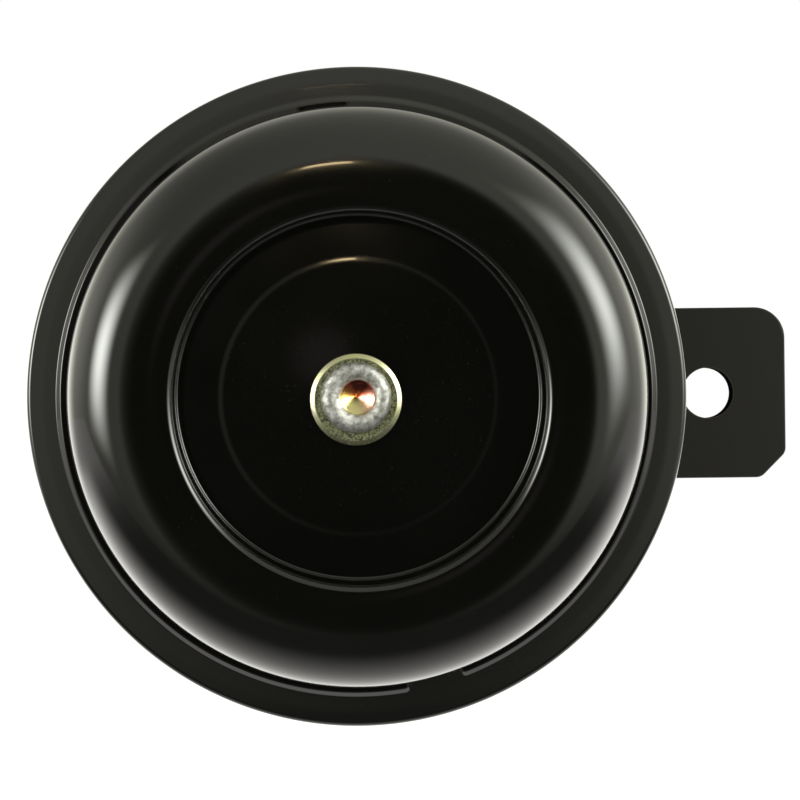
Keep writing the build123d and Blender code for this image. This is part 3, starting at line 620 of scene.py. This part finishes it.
def stamped_zinc(name):
    """The same plate on the stamped washer: bright along the bevel's upper side as a painted highlight,
    dull and pitted on the flat.
    """
    material, tree, where = finish(name)
    offset = where.minus(at(0, 0, 0) + washer_shift)
    bevel_start = washer_radius - washer_bevel
    softness = 0.00012
    speck = noise_of(tree, where, size=0.00026, detail=4.0, roughness=0.7)
    cloud = noise_of(tree, where, size=0.0035, detail=2.0)
    radius = off_axis(offset) + (speck - 0.5) * 0.0006
    on_bevel = radius.rise(bevel_start - softness, bevel_start + softness)
    # Painted highlight: the bevel is coloured bright and made smoother on its upper side, fading towards
    # its lower side.
    bevel_highlight = on_bevel * (offset.part(2) + (cloud - 0.5) * 0.006).rise(-0.0060, 0.0, 0.15, 1.0)
    flat = speck.rise(0.40, 0.62).blend((0.46, 0.48, 0.28, 1.0), (0.055, 0.06, 0.035, 1.0))
    bright = cloud.rise(0.35, 0.65).blend((0.95, 0.99, 0.52, 1.0), (0.98, 0.90, 0.66, 1.0))
    surface(
        tree,
        Base_Color=bevel_highlight.blend(flat, bright),
        Metallic=1.0,
        Roughness=0.48 - bevel_highlight * 0.16,
        Normal=bump_of(tree, speck, 0.000026),
    )
    return material


zinc_yellow = yellow_zinc("yellow_zinc")
washer.data.materials.append(stamped_zinc("stamped_zinc"))
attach(washer, "sounder")
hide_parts("front_washer")


# Armature: one turned steel piece. Its shank goes through the diaphragm and the tone disc, and its
# hollow end is hammered over the front washer, which bared and dented the plate on the head.
shank_radius = 0.0036
head_height = 0.00135
head_crest_radius = 0.00405
head_bore_radius = 0.00254
head_lip_drop = 0.00075
head_bore_depth = 0.0005
drill_point = 59.0
flange_radius = 0.0120
flange_front = -0.0006
flange_back = -0.0021
armature_radius = 0.0076
armature_end = -0.0099
armature_edge = 0.0004
head_mesh_step = 0.00018
head_crest = washer_top + head_height
bore_floor = head_crest - head_lip_drop - head_bore_depth
lip_steps = 6
head_path = arc((head_crest_radius, washer_top), head_height, 0, 90, steps=12)
for n in range(1, lip_steps + 1):
    share = n / lip_steps
    lip_radius = head_crest_radius + (head_bore_radius - head_crest_radius) * share
    head_path.append((lip_radius, head_crest - head_lip_drop * share * share))
bore_point = bore_floor - head_bore_radius / tan(radians(drill_point))
head_path += [(head_bore_radius, bore_floor), (0.0, bore_point)]
armature_outline = [
    (0.0, armature_end),
    (armature_radius - armature_edge, armature_end),
    (armature_radius, armature_end + armature_edge),
    (armature_radius, flange_back),
    (flange_radius, flange_back),
    (flange_radius, flange_front),
    (shank_radius, flange_front),
    (shank_radius, washer_top),
]
armature_outline += spread(head_path, head_mesh_step)
head_shift = Vector((0.00018, 0.0, -0.00022))
bore_shift = Vector((0.00042, 0.0, -0.00022))
dent_depth = 0.00009
dent_scale = 520.0
lean = 0.00008
lean_angle = radians(70)
head_margin = 0.0001
dented_radius = 0.95 * head_bore_radius


def hammered(radius, angle, height):
    """Point of the armature, with its head beaten out of true."""
    place = at(radius, angle, height)
    if height <= washer_top - head_margin:
        return place
    in_bore = 1 - share_of(radius, head_bore_radius, head_crest_radius)
    place = place + head_shift.lerp(bore_shift, in_bore)
    if radius < dented_radius:
        return place
    dent = noise.fractal(place * dent_scale, 0.8, 2.0, 3)
    share = share_of(height, washer_top, head_crest)
    outward = (dent_depth * dent + lean * cos(angle - lean_angle)) * share
    return place + at(outward, angle, -dent_depth * abs(dent) * share) - at(0, 0, 0)


armature = lathe("armature_turned", armature_outline, segments=192, shape=hammered, sharp_angle=50)


def staked_head(name):
    """Yellow zinc on the turned faces, and worn bright steel where the head was hammered. Round the bore
    the chromate's colours are partly painted light: a painted dark wedge at its top and painted bright
    yellow towards its lower left.
    """
    material, tree, where = finish(name)
    offset = where.minus(at(0, 0, 0) + bore_shift)
    radius = off_axis(offset)
    height = -offset.part(1)
    cloud = noise_of(tree, where, size=0.0016, detail=3.0)
    grain = noise_of(tree, where, size=0.00024, detail=4.0, roughness=0.7)
    scuff = noise_of(tree, where, size=0.0009, detail=4.0, roughness=0.65)
    edge_width = 0.0003
    edge = (cloud - 0.5) * 0.0006
    on_head = (radius + edge).rise(head_bore_radius, head_bore_radius + edge_width)
    bared = on_head * (height + edge).rise(washer_top + 0.00005, washer_top + edge_width)
    steel = scuff.rise(0.36, 0.66).blend((0.82, 0.82, 0.79, 1.0), (0.36, 0.36, 0.32, 1.0))
    # Chromate colours round the bore, laid out by direction: the hues are the plate's own, the dark wedge
    # at the top is painted shade and the bright yellow at the lower left a painted reflection.
    angle = offset.math("ARCTAN2", offset.part(2), offset.part(0))
    turn = (angle + (cloud - 0.5) * 0.7) * (0.5 / pi) + 0.5
    gold = tree.make(
        "ValToRGB",
        {"stops": [
            (0.0, (0.98, 0.74, 0.22)), (0.12, (1.0, 0.93, 0.42)), (0.27, (1.0, 0.90, 0.44)),
            (0.38, (0.98, 0.62, 0.42)), (0.52, (0.98, 0.50, 0.42)), (0.62, (0.80, 0.20, 0.14)),
            (0.66, (0.20, 0.05, 0.04)), (0.80, (0.14, 0.04, 0.03)), (0.84, (0.60, 0.14, 0.07)),
            (0.92, (0.98, 0.50, 0.16)), (1.0, (0.98, 0.74, 0.22)),
        ]},
        {"Fac": turn},
    )
    surface(
        tree,
        Base_Color=bared.blend(gold, steel),
        Metallic=1.0,
        Roughness=0.20 + bared * 0.34 + scuff.rise(0.4, 0.7) * bared * 0.10,
        Normal=bump_of(tree, grain * 0.6 + scuff * 0.4, 0.00004),
    )
    return material


armature.data.materials.append(staked_head("staked_head"))
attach(armature, "sounder")
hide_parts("armature")


# Diaphragm: 0.5 mm spring steel. Its middle is raised, with a notch in the step's edge, and its
# border lies on the housing's flange and is folded round it. In use its middle moves with the armature.
sheet = 0.0005
rim_radius = 0.0520
fold_radius = 0.0009
hem_width = 0.0042
hem_back = -0.0027
crown_radius = 0.0494
flange_crown = 0.00008
step_radius = 0.0472
step_run = 0.0008
step_rise = 0.0006
bead_width = 0.0013
bead_fall = 0.0002
middle_radius = 0.0380
middle_height = 0.0009
notch_middle = radians(285)
notch_depth = 0.0023
notch_half_width = 0.0034
notch_flank = 0.0013
notch_inside = step_radius - 0.0075
notch_inside_fade = 0.0040
notch_outside = step_radius + 0.0012
notch_outside_fade = 0.0008
flat_middle = radians(90)
flat_half_width = 0.0260
flat_flank = 0.0120
nick_middle = radians(96)
nick_half_width = 0.0038
nick_flank = 0.0002
bead_inside = middle_radius + 0.0020
back_level = -0.0001
crown_bend = 0.0300
step_bend = 0.0004
bead_bend = 0.0020
middle_bend = 0.0050
diaphragm_mesh_step = 0.0010
diaphragm_path = rounded(
    [
        (rim_radius - hem_width, hem_back),
        (rim_radius, hem_back),
        (rim_radius, -flange_crown),
        (crown_radius, 0.0),
        (step_radius, 0.0),
        (step_radius - step_run, step_rise),
        (step_radius - step_run - bead_width, step_rise - bead_fall),
        (middle_radius, middle_height),
        (shank_hole, middle_height),
    ],
    [fold_radius, fold_radius, crown_bend, step_bend, step_bend, bead_bend, middle_bend],
)


def along_step(angle, middle, half_width, flank):
    """How much an angle lies within a stretch of the step, from 0 outside it to 1 in it."""
    off = abs((angle - middle + pi) % (2 * pi) - pi) * step_radius
    return eased(share_of(half_width + flank - off, 0.0, flank))


def notched(radius, angle, height):
    """Point of the diaphragm, with the notch in its step, and the flat stretch and nick at its top."""
    near = share_of(radius, notch_inside, notch_inside + notch_inside_fade)
    near *= share_of(notch_outside - radius, 0.0, notch_outside_fade)
    inward = notch_depth * along_step(angle, notch_middle, notch_half_width, notch_flank) * near
    if height > back_level and radius > bead_inside:
        within = share_of(step_radius - step_run - radius, 0.0, bead_width)
        flat = along_step(angle, flat_middle, flat_half_width, flat_flank)
        flat *= 1 - along_step(angle, nick_middle, nick_half_width, nick_flank)
        height += bead_fall * within * flat
    return at(radius - inward, angle, height)


diaphragm_outline = sheet_outline(spread(diaphragm_path, diaphragm_mesh_step), sheet)
diaphragm = lathe("diaphragm_sheet", diaphragm_outline, segments=600, shape=notched)
diaphragm.data.materials.append(gloss_paint)
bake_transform(diaphragm)
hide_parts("diaphragm")


# Strap bracket: a flat strap punched from 3.5 mm steel, in satin black paint. The stud clamps one end
# behind the cup, and the free end has one bolt hole.
hole_wall_start = 0.0048
hole_wall_end = 0.0052


def soft_edges(tree, radius, samples=4):
    """Normal that runs on round the piece's sharp edges."""
    return tree.make("Bevel", {"samples": samples}, {"Radius": radius})


def satin_black(name):
    """Thin satin paint over punched steel: fine grain, bare ochre on the sharpest edges, and painted
    shade on the bolt hole's wall.
    """
    material, tree, where = finish(name)
    grain = noise_of(tree, where, size=0.0003, detail=3.0)
    cloud = noise_of(tree, where, size=0.012, detail=4.0)
    edge_normal = soft_edges(tree, 0.00025, 6)
    base = cloud.blend((0.0105, 0.0102, 0.0084, 1.0), (0.0150, 0.0145, 0.0120, 1.0))
    true_normal = tree.make("NewGeometry", output=1)
    worn = (1 - edge_normal.dot(true_normal)).rise(0.004, 0.04) * cloud.rise(0.35, 0.65, 0.4, 1.0)
    upright = abs(true_normal.part(1)).rise(0.2, 0.6, 1.0, 0.0)
    # Painted shade: the bolt hole's upright wall is drawn near black and matt in place of the paint.
    in_hole = upright * off_axis(where).rise(hole_wall_start, hole_wall_end, 1.0, 0.0)
    paint = tree.make(
        "BsdfPrincipled",
        sockets={
            "Base Color": worn.blend(base, (0.11, 0.10, 0.055, 1.0)),
            "Roughness": grain.rise(0.3, 0.7, 0.40, 0.54),
            "Specular IOR Level": 0.28,
            "Normal": bump_of(tree, grain, 0.000010, edge_normal),
        },
    )
    hole_shade = tree.make("BsdfDiffuse", sockets={"Color": (0.004, 0.004, 0.004, 1.0)})
    look = tree.make("MixShader", sockets={0: in_hole, 1: paint, 2: hole_shade})
    tree.make("OutputMaterial", sockets={"Surface": look})
    return material


def dress(material, *nodes):
    """Gives CAD nodes a material in place of their plain one."""
    for node in nodes:
        for material_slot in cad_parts[node].material_slots:
            material_slot.material = material


dress(satin_black("satin_black_paint"), "strap_bracket")


# Housing: a deep drawn steel cup in two steps, in the same stoved gloss paint. Drawing left faint rings
# round its wall, which the paint follows.
def drawn_black(name):
    """Gloss paint over a drawn wall, with soft rings about the horn's axis and runs of dust."""
    material, tree, where = finish(name)
    offset = where.minus(at(0, 0, 0))
    section = tree.make("CombineXYZ", sockets={0: off_axis(offset), 1: offset.part(1)})
    rings = noise_of(tree, section, size=0.0009, detail=3.0)
    peel = noise_of(tree, where, size=0.0022, detail=1.0)
    cloud = noise_of(tree, where, size=0.014, detail=4.0)
    dust = noise_of(tree, where, size=0.00030, detail=1.0).rise(0.72, 0.86) * cloud.rise(0.35, 0.6)
    surface(
        tree,
        Base_Color=dust.blend((0.0024, 0.0024, 0.0020, 1.0), (0.035, 0.033, 0.028, 1.0)),
        Roughness=cloud.rise(0.3, 0.7, 0.12, 0.24) + dust * 0.3,
        Coat_Weight=1.0 - dust * 0.6,
        Coat_Roughness=0.06,
        Normal=bump_of(tree, rings * 0.6 + peel * 0.4, 0.0000060),
    )
    return material


dress(drawn_black("drawn_black"), "housing")


# Pole core: one turned and rolled steel piece, the core inside the coil and its M8 stud behind, zinc
# plated. Its base is clamped in the cup's bottom by the bracket nut.
core_radius = 0.0080
core_base_radius = 0.0120
core_face = -0.0110
core_base_front = -0.0216
cup_front = -0.0236
core_edge = 0.0005
stud_radius = 0.00395
stud_end = -0.0410
stud_chamfer = 0.0008
thread_pitch = 0.00125
thread_depth = 0.00068
thread_root = 0.048
thread_crest = 0.448
thread_start = cup_front - 0.0004
thread_mesh_step = 0.00014
stud_corners = [(stud_radius, cup_front), (stud_radius, stud_end + stud_chamfer)]
core_outline = [
    (0.0, core_face),
    (core_radius - core_edge, core_face),
    (core_radius, core_face - core_edge),
    (core_radius, core_base_front),
    (core_base_radius, core_base_front),
    (core_base_radius, cup_front),
    *spread(stud_corners, thread_mesh_step),
    (stud_radius - stud_chamfer, stud_end),
    (0.0, stud_end),
]


def threaded(radius, angle, height):
    """Point of the core: the stud's surface dips between the turns of its thread."""
    on_stud = abs(radius - stud_radius) <= 1e-6
    if not on_stud or height > thread_start:
        return at(radius, angle, height)
    turn = (height / thread_pitch + angle / (2 * pi)) % 1.0
    flank = share_of(abs(turn - 0.5), thread_root, thread_crest)
    return at(radius - thread_depth * (1 - flank), angle, height)


def plain(name, colour, metallic, roughness):
    """Finish of one colour with clouds and a fine grain."""
    material, tree, where = finish(name)
    grain = noise_of(tree, where, size=0.0006, detail=3.0)
    cloud = noise_of(tree, where, size=0.0072, detail=3.0)
    darker = tuple(0.72 * part for part in colour)
    surface(
        tree,
        Base_Color=cloud.blend((*darker, 1.0), (*colour, 1.0)),
        Metallic=metallic,
        Roughness=grain.rise(0.3, 0.7, roughness - 0.06, roughness + 0.08),
        Normal=bump_of(tree, grain, 0.000006, soft_edges(tree, 0.00012)),
    )
    return material


pole_core = lathe("pole_core_turned", core_outline, segments=96, shape=threaded)
zinc = plain("zinc_steel", (0.42, 0.43, 0.44), 1.0, 0.38)
pole_core.data.materials.append(zinc)
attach(pole_core, "casing")
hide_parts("pole_core")


# Bracket nut and plain washer: cold formed and stamped steel in yellow zinc. Both are on the stud behind
# the strap, and clamp it to the cup.
dress(zinc_yellow, "bracket_nut", "plain_washer")

# Spring washer: one turn of square steel wire, zinc plated. It lies between the plain washer and the nut,
# and keeps the nut from working loose.
dress(zinc, "spring_washer")

# Yoke plate and its three rivets: stamped steel over the coil, zinc plated. The rivets go through the
# cup's shoulder.
dress(zinc, "yoke_plate", "yoke_rivets")

# Spacer collar and backing washer: turned and stamped steel either side of the diaphragm's middle, zinc
# plated. The armature's staked head clamps them.
dress(zinc, "spacer_collar", "backing_washer")

# Rim gasket: a ring punched from gasket paper. It lies between the diaphragm and the housing's flange,
# held by the folded rim.
dress(plain("gasket_paper", (0.42, 0.36, 0.26), 0.0, 0.8), "rim_gasket")


# Coil: enamelled copper wire, wound in layers on a moulded bobbin. The bobbin stands on the core's base,
# under the yoke plate.
wire_diameter = 0.0005


def ridges(value, pitch):
    """Goes from 0 to 1 and back once in every pitch of a value."""
    return value.math("PINGPONG", value, pitch / 2) * (2 / pitch)


def wound_copper(name):
    """Enamelled wire laid turn by turn: a ridge for each turn, with painted shade in the grooves between
    them.
    """
    material, tree, where = finish(name)
    uneven = noise_of(tree, where, size=0.006, detail=1.0) * 0.0003
    turns = ridges(where.part(1) + uneven, wire_diameter)
    cloud = noise_of(tree, where, size=0.004, detail=3.0)
    copper = cloud.blend((0.46, 0.16, 0.06, 1.0), (0.68, 0.28, 0.11, 1.0))
    surface(
        tree,
        # Painted shade: the colour darkens to near black in the grooves between turns.
        Base_Color=turns.rise(0.0, 0.5).blend((0.10, 0.03, 0.012, 1.0), copper),
        Metallic=1.0,
        Roughness=cloud.rise(0.3, 0.7, 0.22, 0.34),
        Coat_Weight=0.5,
        Normal=bump_of(tree, turns, 0.00012),
    )
    return material


moulded = plain("moulded_black", (0.035, 0.035, 0.036), 0.0, 0.5)
dress(moulded, "coil_bobbin")
dress(wound_copper("wound_copper"), "coil_winding")

# Leads: single enamelled copper wires, two from the coil and one from the fixed contact. Each is
# soldered at both ends.
enamelled = plain("enamelled_copper", (0.62, 0.26, 0.11), 1.0, 0.25)
dress(enamelled, "coil_lead_start", "coil_lead_end", "contact_lead")


# Moving contact blade: 0.3 mm spring strip, clamped at its root between the insulators. In use it
# bends where it leaves them when the armature pushes the peg at its tip.
def loop_of(corners, radii, step):
    """Closed loop of points on the horn's plane, a step apart, with its corners rounded."""
    path = rounded([corners[-1], *corners, corners[0]], radii, steps=4)[1:-1]
    return spread([*path, path[0]], step)[:-1]


def circle(middle, radius, steps=32):
    """Closed loop of points on a circle."""
    return arc(middle, radius, 0, 360, steps)[:-1]


def plate(name, loops, low, high):
    """Flat strip between two heights, from its outline and the outlines of its holes."""
    maker = bmesh.new()
    for loop in loops:
        corners = [maker.verts.new((x - strap_reach, rim_front - low, z)) for x, z in loop]
        for corner, following in zip(corners, corners[1:] + corners[:1]):
            maker.edges.new((corner, following))
    bmesh.ops.triangle_fill(maker, use_beauty=True, edges=maker.edges[:])
    raised = bmesh.ops.extrude_face_region(maker, geom=maker.faces[:], use_keep_orig=True)["geom"]
    moved = [item for item in raised if isinstance(item, bmesh.types.BMVert)]
    bmesh.ops.translate(maker, verts=moved, vec=(0.0, low - high, 0.0))
    return as_object(name, maker)


blade_back = -0.0058
blade_front = -0.0055
blade_tip = -0.0089
blade_half = 0.0045
root_start = -0.0350
root_end = -0.0406
root_half = 0.0062
tab_start = -0.0358
tab_end = -0.0398
tab_top = 0.0096
tip_round = 0.0012
root_round = 0.0006
neck_round = 0.0003
tab_foot_round = 0.0002
bush_place = -0.0378
bush_offset = 0.0040
bush_hole = 0.0019
screw_reach = 0.0315
screw_clearance = 0.0028
blade_mesh_step = 0.0010
blade_corners = [
    (blade_tip, -blade_half),
    (blade_tip, blade_half),
    (root_start, blade_half),
    (root_start, root_half),
    (tab_start, root_half),
    (tab_start, tab_top),
    (tab_end, tab_top),
    (tab_end, root_half),
    (root_end, root_half),
    (root_end, -root_half),
    (root_start, -root_half),
    (root_start, -blade_half),
]
blade_rounds = [tip_round, tip_round, neck_round, tab_foot_round, tab_foot_round, root_round, root_round]
blade_rounds += [tab_foot_round, tab_foot_round, root_round, neck_round, neck_round]
blade_loops = [loop_of(blade_corners, blade_rounds, blade_mesh_step)]
for offset in (-bush_offset, bush_offset):
    blade_loops.append(circle((bush_place, offset), bush_hole))
blade_loops.append(circle((-screw_reach, 0.0), screw_clearance))
blade = plate("spring_blade", blade_loops, blade_back, blade_front)


def rolled_brass(name):
    """Rolled strip: fine lines along it and faint brown stains."""
    material, tree, where = finish(name)
    drawn_out = tree.make("Mapping", sockets={"Vector": where, "Scale": (0.05, 1.0, 1.0)})
    lines = noise_of(tree, drawn_out, size=0.00012, detail=3.0)
    stain = noise_of(tree, where, size=0.0035, detail=4.0)
    surface(
        tree,
        Base_Color=stain.rise(0.45, 0.75).blend((0.74, 0.58, 0.28, 1.0), (0.42, 0.27, 0.12, 1.0)),
        Metallic=1.0,
        Roughness=lines.rise(0.3, 0.7, 0.20, 0.34) + stain.rise(0.5, 0.8) * 0.12,
        Normal=bump_of(tree, lines, 0.000003, soft_edges(tree, 0.0001)),
    )
    return material


brass = rolled_brass("rolled_brass")
blade.data.materials.append(brass)
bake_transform(blade)
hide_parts("moving_contact_blade")

# Fixed contact arm: a stiffer strip of the same brass over the blade, clamped in the same stack. The
# adjusting screw bends it to set the contact.
dress(brass, "fixed_contact_arm")

# Contact points: tungsten discs, one brazed on the blade and one on the arm. They touch at rest, and the
# armature parts them when it pushes the blade.
dress(plain("tungsten", (0.40, 0.40, 0.42), 1.0, 0.4), "moving_contact_point", "fixed_contact_point")

# Insulators of the contact breaker: punched laminate, brown and layered at its cut edges, with two
# tubes of it round the rivets. The pusher is a peg of the same stock, riveted in the blade's tip.
layer_pair = 0.00022


def laminate(name):
    """Resin bonded fabric: layers along its thickness, speckled fibres on its faces."""
    material, tree, where = finish(name)
    layers = ridges(where.part(1), layer_pair)
    fibre = noise_of(tree, where, size=0.0003, detail=4.0, roughness=0.7)
    cloud = noise_of(tree, where, size=0.003, detail=2.0)
    brown = cloud.blend((0.24, 0.13, 0.06, 1.0), (0.36, 0.21, 0.10, 1.0))
    pale = (layers * 0.3 + fibre * 0.7).rise(0.45, 0.75)
    surface(
        tree,
        Base_Color=pale.blend(brown, (0.46, 0.30, 0.16, 1.0)),
        Roughness=fibre.rise(0.3, 0.7, 0.45, 0.62),
        Normal=bump_of(tree, fibre, 0.000012, soft_edges(tree, 0.00015)),
    )
    return material


bonded = laminate("laminate")
dress(bonded, "base_insulator", "spacer_insulator", "top_insulator", "breaker_bushes", "pusher")

# Breaker rivets: two steel rivets, zinc plated. They go through the bushes, and hold the insulators, the
# blade and the arm to the shoulder.
dress(zinc, "breaker_rivets")

# Adjusting screw: M4 steel screw, slotted at the rear, in yellow zinc. It runs in the clinch nut that is
# pressed into the shoulder, and the lock nut holds it.
screw_pitch = 0.0007
screw_core = 0.00185
screw_crest = 0.00195


def threaded_zinc(name):
    """Yellow zinc on a rolled thread about the screw's own axis, with painted shade darkening its roots.
    """
    material, tree, where = finish(name)
    offset = where.minus(at(screw_reach, pi, 0))
    angle = offset.math("ARCTAN2", offset.part(2), offset.part(0))
    ridge = ridges(offset.part(1) + angle * (0.5 / pi) * screw_pitch, screw_pitch)
    ridge = ridge * off_axis(offset).rise(screw_core, screw_crest)
    speck = noise_of(tree, where, size=0.00030, detail=3.0, roughness=0.6)
    surface(
        tree,
        # Painted shade: the colour is darker in the thread's roots than on its crests.
        Base_Color=ridge.rise(0.0, 0.4).blend((0.58, 0.52, 0.24, 1.0), (0.76, 0.70, 0.34, 1.0)),
        Metallic=1.0,
        Roughness=speck.rise(0.4, 0.6, 0.26, 0.40),
        Normal=bump_of(tree, ridge, 0.00030),
    )
    return material


dress(threaded_zinc("threaded_zinc"), "adjusting_screw")
dress(zinc, "clinch_nut")
dress(zinc_yellow, "lock_nut")

# Terminals: two brass spades on a moulded block at the horn's lowest side, each riveted through the
# shoulder to a lug inside, past an insulating plate
dress(brass, "spade_terminals", "terminal_rivets", "terminal_lugs")
dress(moulded, "terminal_block")
dress(bonded, "terminal_insulator")
